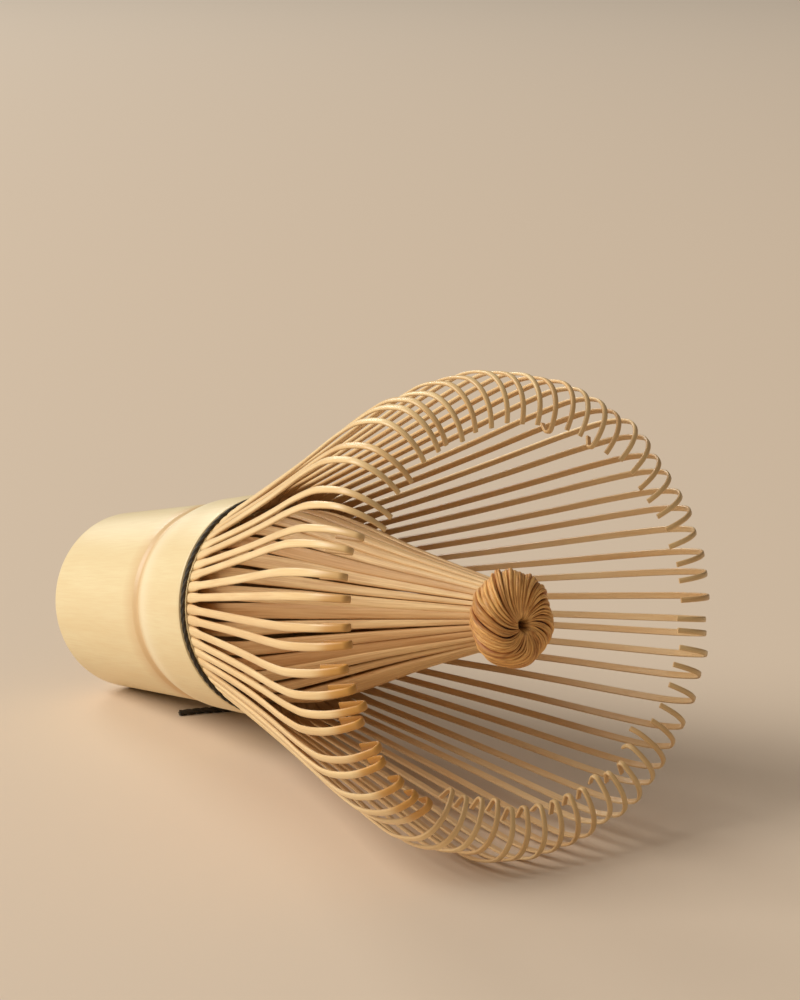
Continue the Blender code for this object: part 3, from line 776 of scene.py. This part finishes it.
def outer_rows(settings, angle, stray, flare, crook, hook):
    """All the rows of one outer tine, from under the thread to its end."""
    table = outer_headings(flare, crook, hook)
    length = table[-1][0]
    far = (1.0 + math.cos(angle - FAR_SIDE)) / 2
    flare_width = settings.width * (1.0 + (settings.far_share - 1.0) * smooth_step(far, FAR_FROM, FAR_FULL))
    broad = smooth_step(angle, BROAD_FROM, BROAD_TO) if hook > 0.0 else 0.0
    end_width = settings.tip_width + (settings.hook_width - settings.tip_width) * broad
    stations = spaced(ROW_PLACES, ROW_COUNTS)
    for (start, before), (end, after) in zip(table[len(FLARE) - 1:], table[len(FLARE):]):
        steps = max(BEND_ROWS, math.ceil(abs(after - before) / BEND_STEP))
        stations += [start + (end - start) * step / steps for step in range(1, steps + 1)]
    squeezed = settings.root_width * ROOT_SQUEEZE
    rows = [tine_row(SEAT_RADIUS, ROOT_HEIGHT, 0.0, angle, squeezed, OUTER_WALL, 0.0, 0.0),
            tine_row(SEAT_RADIUS, ROOT_FRONT - ROOT_LIP, 0.0, angle, settings.root_width, OUTER_WALL,
                     ROOT_LENGTH, 0.0)]
    for place, radius, height, heading in follow(table, stations, SEAT_RADIUS, ROOT_FRONT):
        turned = angle + stray * (1.0 - max(1.0 - place / STRAY_TO, 0.0) ** 2)
        narrowed = smooth_step(place, NARROW_FROM, NARROW_TO)
        width = settings.root_width + (flare_width - settings.root_width) * narrowed
        width += (end_width - flare_width) * smooth_step(place, BEND_START, length)
        thickness = OUTER_WALL + (settings.thickness - OUTER_WALL) * smooth_step(place, 0.0, THIN_TO)
        thickness += (settings.tip_thickness - settings.thickness) * smooth_step(place, THIN_TO, length)
        # Golden painted warm shade on the bent end, in full on the broad hooks
        tip = smooth_step(place, GOLD_SHADE_FROM, GOLD_SHADE_TO) * (PLAIN_GOLD_SHADE + (1.0 - PLAIN_GOLD_SHADE) * broad)
        rows.append(tine_row(radius, height, heading, turned, width, thickness, ROOT_LENGTH + place, tip))
    return rows


class WHISK_OT_outer_tines(Operator):
    """Split the outer tines, flare them and bend their ends over"""
    bl_idname = "whisk.outer_tines"
    bl_label = "Outer tines"

    def execute(self, context):
        settings = context.scene.whisk.outer
        material = shaved_bamboo(settings)
        draw = random.Random(SEED + 1)
        whims = tine_whims()
        for first in range(0, OUTER_TINES, OUTER_PER_SLICE):
            shape = new_shape()
            for index in range(first, first + OUTER_PER_SLICE):
                rows = outer_rows(settings, *whims[index])
                draw_strip(shape, SHAVED, rows, draw.random(), index * OUTER_GRAIN_STEP)
            number = f"{first // OUTER_PER_SLICE + 1:02d}"
            lay_piece(f"flared_tines_{number}", shape, material, "split_bamboo", f"outer_tines_{number}")
        return {"FINISHED"}


def inner_rows(settings, angle, draw):
    """All the rows of one inner tine, from the root ring to the knob."""
    guides = ((0.0, INNER_FACE), *CONE, (NECK_REACH, NECK_RADIUS))
    line = smooth_route([Vector(guide) for guide in guides], INNER_STEPS)
    drift = math.radians(draw.uniform(-INNER_DRIFT, INNER_DRIFT))
    sink = draw.uniform(*INNER_SINK) * MM
    wide = draw.choice(STRIP_WIDTHS)
    pitch = 2 * math.pi / INNER_TINES
    rows = [tine_row(INNER_FACE, ROOT_HEIGHT, 0.0, angle, settings.root_width, INNER_WALL, 0.0, 0.0)]
    for number, (reach, radius) in enumerate(line):
        before, after = line[max(number - 1, 0)], line[min(number + 1, len(line) - 1)]
        heading = math.atan2(after[1] - before[1], after[0] - before[0])
        sway = math.sin(math.pi * min(reach / NECK_REACH, 1.0))
        width = min(settings.root_width, settings.fill * pitch * radius * wide)
        thickness = INNER_WALL + (settings.thickness - INNER_WALL) * smooth_step(reach, 0.0, THIN_TO)
        rows.append(tine_row(radius - sink * sway, ROOT_FRONT + reach, heading, angle + drift * sway, width,
                             thickness, ROOT_LENGTH + reach, 0.0))
    return rows


class WHISK_OT_inner_tines(Operator):
    """Split the inner tines and gather them in a cone towards the knob"""
    bl_idname = "whisk.inner_tines"
    bl_label = "Inner tines"

    def execute(self, context):
        settings = context.scene.whisk.inner
        material = inner_bamboo(settings)
        draw = random.Random(SEED + 2)
        for first in range(0, INNER_TINES, INNER_PER_SLICE):
            shape = new_shape()
            for index in range(first, first + INNER_PER_SLICE):
                angle = (index + 0.5) * 2 * math.pi / INNER_TINES
                rows = inner_rows(settings, angle, draw)
                draw_strip(shape, SHAVED, rows, draw.random(), index * INNER_GRAIN_STEP)
            number = f"{first // INNER_PER_SLICE + 1:02d}"
            lay_piece(f"gathered_tines_{number}", shape, material, "inner_bamboo", f"inner_tines_{number}")
        return {"FINISHED"}


def knob_line(steps):
    """The knob's outline as (radius, height) points, from the neck over the rim into the dimple."""
    back = ROOT_FRONT + NECK_REACH + CLEARANCE
    guides = [Vector((wide * KNOB_RADIUS, back + along * KNOB_LENGTH)) for wide, along in KNOB_LINE]
    return smooth_route(guides, steps)


def stretched(point, share):
    """A point of the knob drawn out to its oval once clear of the neck, and off the middle at the dimple."""
    clear = smooth_step(share, 0.0, KNOB_CLEAR)
    wide = 1.0 + (KNOB_OVAL - 1.0) * clear
    narrow = 1.0 + (KNOB_NARROW - 1.0) * clear
    place = Vector((point.x * wide, point.y * narrow, point.z))
    return place + KNOB_HANG * clear + DIMPLE_PLACE * smooth_step(share, DIMPLE_FROM, 1.0)


def knob_rows(settings, start, pitch, draw):
    """All the rows of one curled strand, wound from the neck over the rim into the dimple."""
    line = knob_line(STRAND_STEPS)
    last = len(line) - 1
    lift = draw.uniform(*STRAND_LIFT) * MM
    swirl = settings.swirl + math.radians(draw.uniform(-STRAND_SWIRL, STRAND_SWIRL))
    wave = WAVE_SHIFT * start + draw.uniform(-STRAND_WAVE, STRAND_WAVE)
    middles = []
    for number, (radius, height) in enumerate(line):
        share = number / last
        angle = start + swirl * share + STRAND_SWAY * math.sin(SWAY_RATE * share + wave)
        swell = lift * math.sin(math.pi * min(share * LIFT_RATE, 1.0))
        swell += KNOB_RIPPLE * math.sin(RIPPLE_RATE * share + 2.0 * wave) * smooth_step(share, *RIPPLE_START)
        rise = swell * smooth_step(share, *RISE_START)
        middles.append(stretched(polar(radius + swell, angle, height + rise), share))
    rows = []
    for number, middle in enumerate(middles):
        before, after = middles[max(number - 1, 0)], middles[min(number + 1, last)]
        low, high = line[max(number - 1, 0)], line[min(number + 1, last)]
        run = (high - low).normalized()
        centre = stretched(Vector((0.0, 0.0, middle.z)), number / last)
        angle = math.atan2(middle.y - centre.y, middle.x - centre.x)
        outward = Vector((math.cos(angle) * run.y, math.sin(angle) * run.y, -run.x))
        across = (after - before).cross(outward).normalized()
        radius = line[number][0]
        width = max(pitch * radius, THINNEST_WIDTH)
        thickness = min(settings.thickness, max(radius * STRAND_DEPTH, THINNEST))
        rows.append((middle, across, outward, width, thickness, number * STRAND_ROW, number / last))
    return rows


def add_core(shape):
    """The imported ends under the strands, turned to the knob's line and closed at both ends."""
    line = knob_line(CORE_STEPS)
    last = len(line) - 1
    profile = [(0.0, line[0][1], 0.0)]
    for number, (radius, height) in enumerate(line):
        run = (line[min(number + 1, last)] - line[max(number - 1, 0)]).normalized()
        inner = max(radius - run.y * CORE_DEPTH, CORE_END)
        profile.append((inner, height + run.x * CORE_DEPTH, number / last))
    profile.append((0.0, line[-1][1] - CORE_DEPTH, 1.0))
    knots = []
    for radius, height, share in profile:
        knots.append(shape.verts.new((radius, 0.0, height)))
        # A back share of 1 gives the ends under the strands the groove's dark painted shade
        mark(shape, knots[-1], (radius, 0.0, height), 0.0, 1.0, share)
    strands = set(shape.verts) - set(knots)
    turn_outline(shape, knots, CORE_SIDES)
    share = shape.verts.layers.float["tip"]
    for vert in shape.verts:
        if vert not in strands:
            vert.co = stretched(vert.co, vert[share])


class WHISK_OT_knob(Operator):
    """Curl the gathered ends over into the knob's swirl"""
    bl_idname = "whisk.knob"
    bl_label = "Knob"

    def execute(self, context):
        settings = context.scene.whisk.knob
        draw = random.Random(SEED + 3)
        shape = new_shape()
        weights = [draw.uniform(*STRAND_SHARES) for _ in range(KNOB_STRANDS)]
        start = 0.0
        for index, weight in enumerate(weights):
            pitch = 2 * math.pi * weight / sum(weights)
            rows = knob_rows(settings, start + pitch / 2, pitch * STRAND_OVERLAP, draw)
            draw_strip(shape, ROUNDED, rows, draw.random(), index * KNOB_GRAIN_STEP)
            start += pitch
        add_core(shape)
        lay_piece("curled_knob", shape, curled_bamboo(settings), "curled_bamboo", "knob", sharp=60.0)
        return {"FINISHED"}


def round_points(count):
    """The thread's round in its seat, its last stretch lifted over its start, as laid down."""
    total = 360.0 + THREAD_LAP
    points = []
    for step in range(count + 1):
        turned = total * step / count
        lift = THREAD_LIFT * smooth_step(turned, THREAD_LIFT_FROM, THREAD_LIFT_TO)
        angle = math.radians(THREAD_START + turned)
        points.append(LAID_DOWN @ polar(THREAD_RADIUS + lift, angle, THREAD_HEIGHT))
    return points


def tail_points():
    """The thread's free end: off the round, down to the floor and back under the handle in one bow."""
    points = round_points(round(LOOP_POINTS * (360.0 + THREAD_LAP) / 360.0))
    start = points[-1] + (points[-1] - points[-2]).normalized() * CLEARANCE
    lying = THREAD_DIAMETER / 2
    heights = [start.z, (start.z + lying) / 2] + [lying] * (len(TAIL_ROUTE) - 2)
    guides = [start]
    for (forward, across), height in zip(TAIL_ROUTE, heights):
        guides.append(Vector((start.x + forward, start.y + across, height)))
    points = smooth_route(guides, TAIL_STEPS)
    for point in points:
        point.z = max(point.z, lying)
    return points


def route_length(points):
    return sum((second - first).length for first, second in zip(points, points[1:]))


def resample(points, spacing):
    """Even points along a route, about a spacing apart."""
    total = route_length(points)
    count = max(2, round(total / spacing))
    wanted = [total * step / count for step in range(count + 1)]
    made = []
    walked = 0.0
    slack = 1e-9
    for first, second in zip(points, points[1:]):
        length = (second - first).length
        while wanted and wanted[0] <= walked + length + slack:
            made.append(first.lerp(second, min((wanted.pop(0) - walked) / length, 1.0)))
        walked += length
    return made


def twined(name, route, diameter, lay, material, node):
    """Three plies twisted round one another along a route, as one piece."""
    points = resample(route, PLY_STEP)
    curve = bpy.data.curves.new(name, "CURVE")
    curve.dimensions = "3D"
    curve.bevel_depth = diameter * PLY_SHARE
    curve.bevel_resolution = 2
    curve.use_fill_caps = True
    reach = diameter / 2 - curve.bevel_depth
    across = (points[1] - points[0]).orthogonal().normalized()
    plies = [[] for _ in range(PLIES)]
    for number, point in enumerate(points):
        before, after = points[max(number - 1, 0)], points[min(number + 1, len(points) - 1)]
        run = (after - before).normalized()
        across = (across - run * across.dot(run)).normalized()
        other = run.cross(across)
        turn = 2 * math.pi * number * PLY_STEP / lay
        for ply, places in enumerate(plies):
            angle = turn + 2 * math.pi * ply / PLIES
            places.append(point + (across * math.cos(angle) + other * math.sin(angle)) * reach)
    for places in plies:
        spline = curve.splines.new("POLY")
        spline.points.add(len(places) - 1)
        for knot, place in zip(spline.points, places):
            knot.co = (*place, 1.0)
    drawn = bpy.data.objects.new(name, curve)
    bpy.context.scene.collection.objects.link(drawn)
    mesh = bpy.data.meshes.new_from_object(drawn)
    bpy.data.objects.remove(drawn)
    mesh.name = name
    mesh.materials.clear()
    mesh.shade_smooth()
    return put_in(name, mesh, material, "waxed_thread", node)


class WHISK_OT_thread(Operator):
    """Wind the waxed thread round the roots and lay out its free end"""
    bl_idname = "whisk.thread"
    bl_label = "Thread"

    def execute(self, context):
        settings = context.scene.whisk.thread
        material = waxed_thread(settings)
        route = round_points(ROUND_POINTS)
        twined("twined_round", route, TIGHT_DIAMETER, settings.lay, material, "binding_thread")
        route = tail_points()
        tail = twined("twined_end", route, THREAD_DIAMETER, settings.lay, material, "thread_tail")
        return {"FINISHED"}


def around(azimuth, elevation):
    """The direction from the whisk to a place round it, in degrees."""
    turn, rise = math.radians(azimuth), math.radians(elevation)
    return Vector((math.sin(turn) * math.cos(rise), -math.cos(turn) * math.cos(rise), math.sin(rise)))


def painted_board(settings):
    """Smooth board painted matt: one plain colour that changes only far off, with hardly any gloss."""
    material, tree, shader = start_material("plain matt painted board", 0.75)
    shader.inputs["Specular IOR Level"].default_value = 0.25
    place = add_node(tree, "ShaderNodeTexCoord").outputs["Object"]
    away = add_node(tree, "ShaderNodeVectorMath", {0: place}, operation="LENGTH").outputs["Value"]
    limits = {"Value": away, "From Min": FLOOR_NEAR, "From Max": FLOOR_FAR}
    reach = add_node(tree, "ShaderNodeMapRange", limits).outputs["Result"]
    blend = {"Factor": reach, MIX_FIRST: (*settings.floor, 1.0), MIX_SECOND: (*settings.far_floor, 1.0)}
    colour = add_node(tree, "ShaderNodeMix", blend, data_type="RGBA").outputs[MIX_RESULT]
    tree.links.new(colour, shader.inputs["Base Color"])
    return material


def add_floor(settings):
    """The floor, flat and wide enough to fill every view."""
    ground = bmesh.new()
    bmesh.ops.create_grid(ground, x_segments=1, y_segments=1, size=FLOOR_REACH)
    mesh = bpy.data.meshes.new("floor")
    ground.to_mesh(mesh)
    ground.free()
    mesh.materials.append(painted_board(settings))
    floor = bpy.data.objects.new("floor", mesh)
    bpy.context.scene.collection.objects.link(floor)
    return floor


def add_window(name, azimuth, elevation, distance, size, power, colour):
    """A square soft light that faces the whisk."""
    light = bpy.data.lights.new(name, "AREA")
    light.size = size
    light.energy = power
    light.color = linear(colour)
    lamp = bpy.data.objects.new(name, light)
    direction = around(azimuth, elevation)
    lamp.location = direction * distance + AIM
    lamp.rotation_euler = direction.to_track_quat("Z", "Y").to_euler()
    bpy.context.scene.collection.objects.link(lamp)
    return lamp


class WHISK_OT_stage(Operator):
    """Set the floor, the soft light and the camera"""
    bl_idname = "whisk.stage"
    bl_label = "Stage"

    def execute(self, context):
        settings = context.scene.whisk.stage
        floor = add_floor(settings)
        window = add_window("window", WINDOW_AZIMUTH, WINDOW_ELEVATION, WINDOW_DISTANCE, settings.key_size,
                            settings.key_power, WINDOW_COLOUR)
        side = add_window("side window", SIDE_AZIMUTH, SIDE_ELEVATION, SIDE_DISTANCE, settings.side_size,
                          settings.side_power, SIDE_COLOUR)
        world = bpy.data.worlds.new("room")
        world.use_nodes = True
        background = world.node_tree.nodes["Background"]
        background.inputs["Color"].default_value = (*linear(SKY_COLOUR), 1.0)
        background.inputs["Strength"].default_value = settings.sky
        context.scene.world = world
        context.scene.view_settings.view_transform = "Standard"
        add_camera(context.scene)
        return {"FINISHED"}


def add_camera(scene):
    """The camera at the photograph's angle, turned a little about its own line of sight."""
    back = around(CAMERA_AZIMUTH, CAMERA_ELEVATION)
    turn = math.radians(CAMERA_AZIMUTH)
    right = Vector((math.cos(turn), math.sin(turn), 0.0))
    up = back.cross(right)
    roll = math.radians(CAMERA_ROLL)
    across = right * math.cos(roll) + up * math.sin(roll)
    above = up * math.cos(roll) - right * math.sin(roll)
    view = bpy.data.cameras.new("camera")
    view.lens = CAMERA_LENS
    view.clip_start = 0.01
    camera = bpy.data.objects.new("camera", view)
    place = Matrix((across, above, back)).transposed().to_4x4()
    place.translation = BUTT + LOOK_AT + back * CAMERA_DISTANCE
    camera.matrix_world = place
    scene.collection.objects.link(camera)
    scene.camera = camera


class WHISK_PT_panel(Panel):
    """Sizes and colours of the whisk"""
    bl_label = "Matcha whisk"
    bl_space_type = "VIEW_3D"
    bl_region_type = "UI"
    bl_category = "Whisk"

    def draw(self, context):
        groups = context.scene.whisk
        for name, operator in PIECES:
            box = self.layout.box()
            box.operator(operator.bl_idname)
            group = getattr(groups, name)
            for setting in group.__annotations__:
                box.prop(group, setting)


PIECES = (("handle", WHISK_OT_handle), ("outer", WHISK_OT_outer_tines), ("inner", WHISK_OT_inner_tines),
          ("knob", WHISK_OT_knob), ("thread", WHISK_OT_thread), ("stage", WHISK_OT_stage))
CLASSES = (HandleSettings, OuterTineSettings, InnerTineSettings, KnobSettings, ThreadSettings, StageSettings,
           WhiskSettings, *(operator for _, operator in PIECES), WHISK_PT_panel)


def register():
    for made in CLASSES:
        bpy.utils.register_class(made)
    bpy.types.Scene.whisk = PointerProperty(type=WhiskSettings)


def unregister():
    del bpy.types.Scene.whisk
    for made in reversed(CLASSES):
        bpy.utils.unregister_class(made)


def main():
    register()
    bpy.ops.whisk.handle()
    bpy.ops.whisk.outer_tines()
    bpy.ops.whisk.inner_tines()
    bpy.ops.whisk.knob()
    bpy.ops.whisk.thread()
    bpy.ops.whisk.stage()


if __name__ == "__main__":
    main()
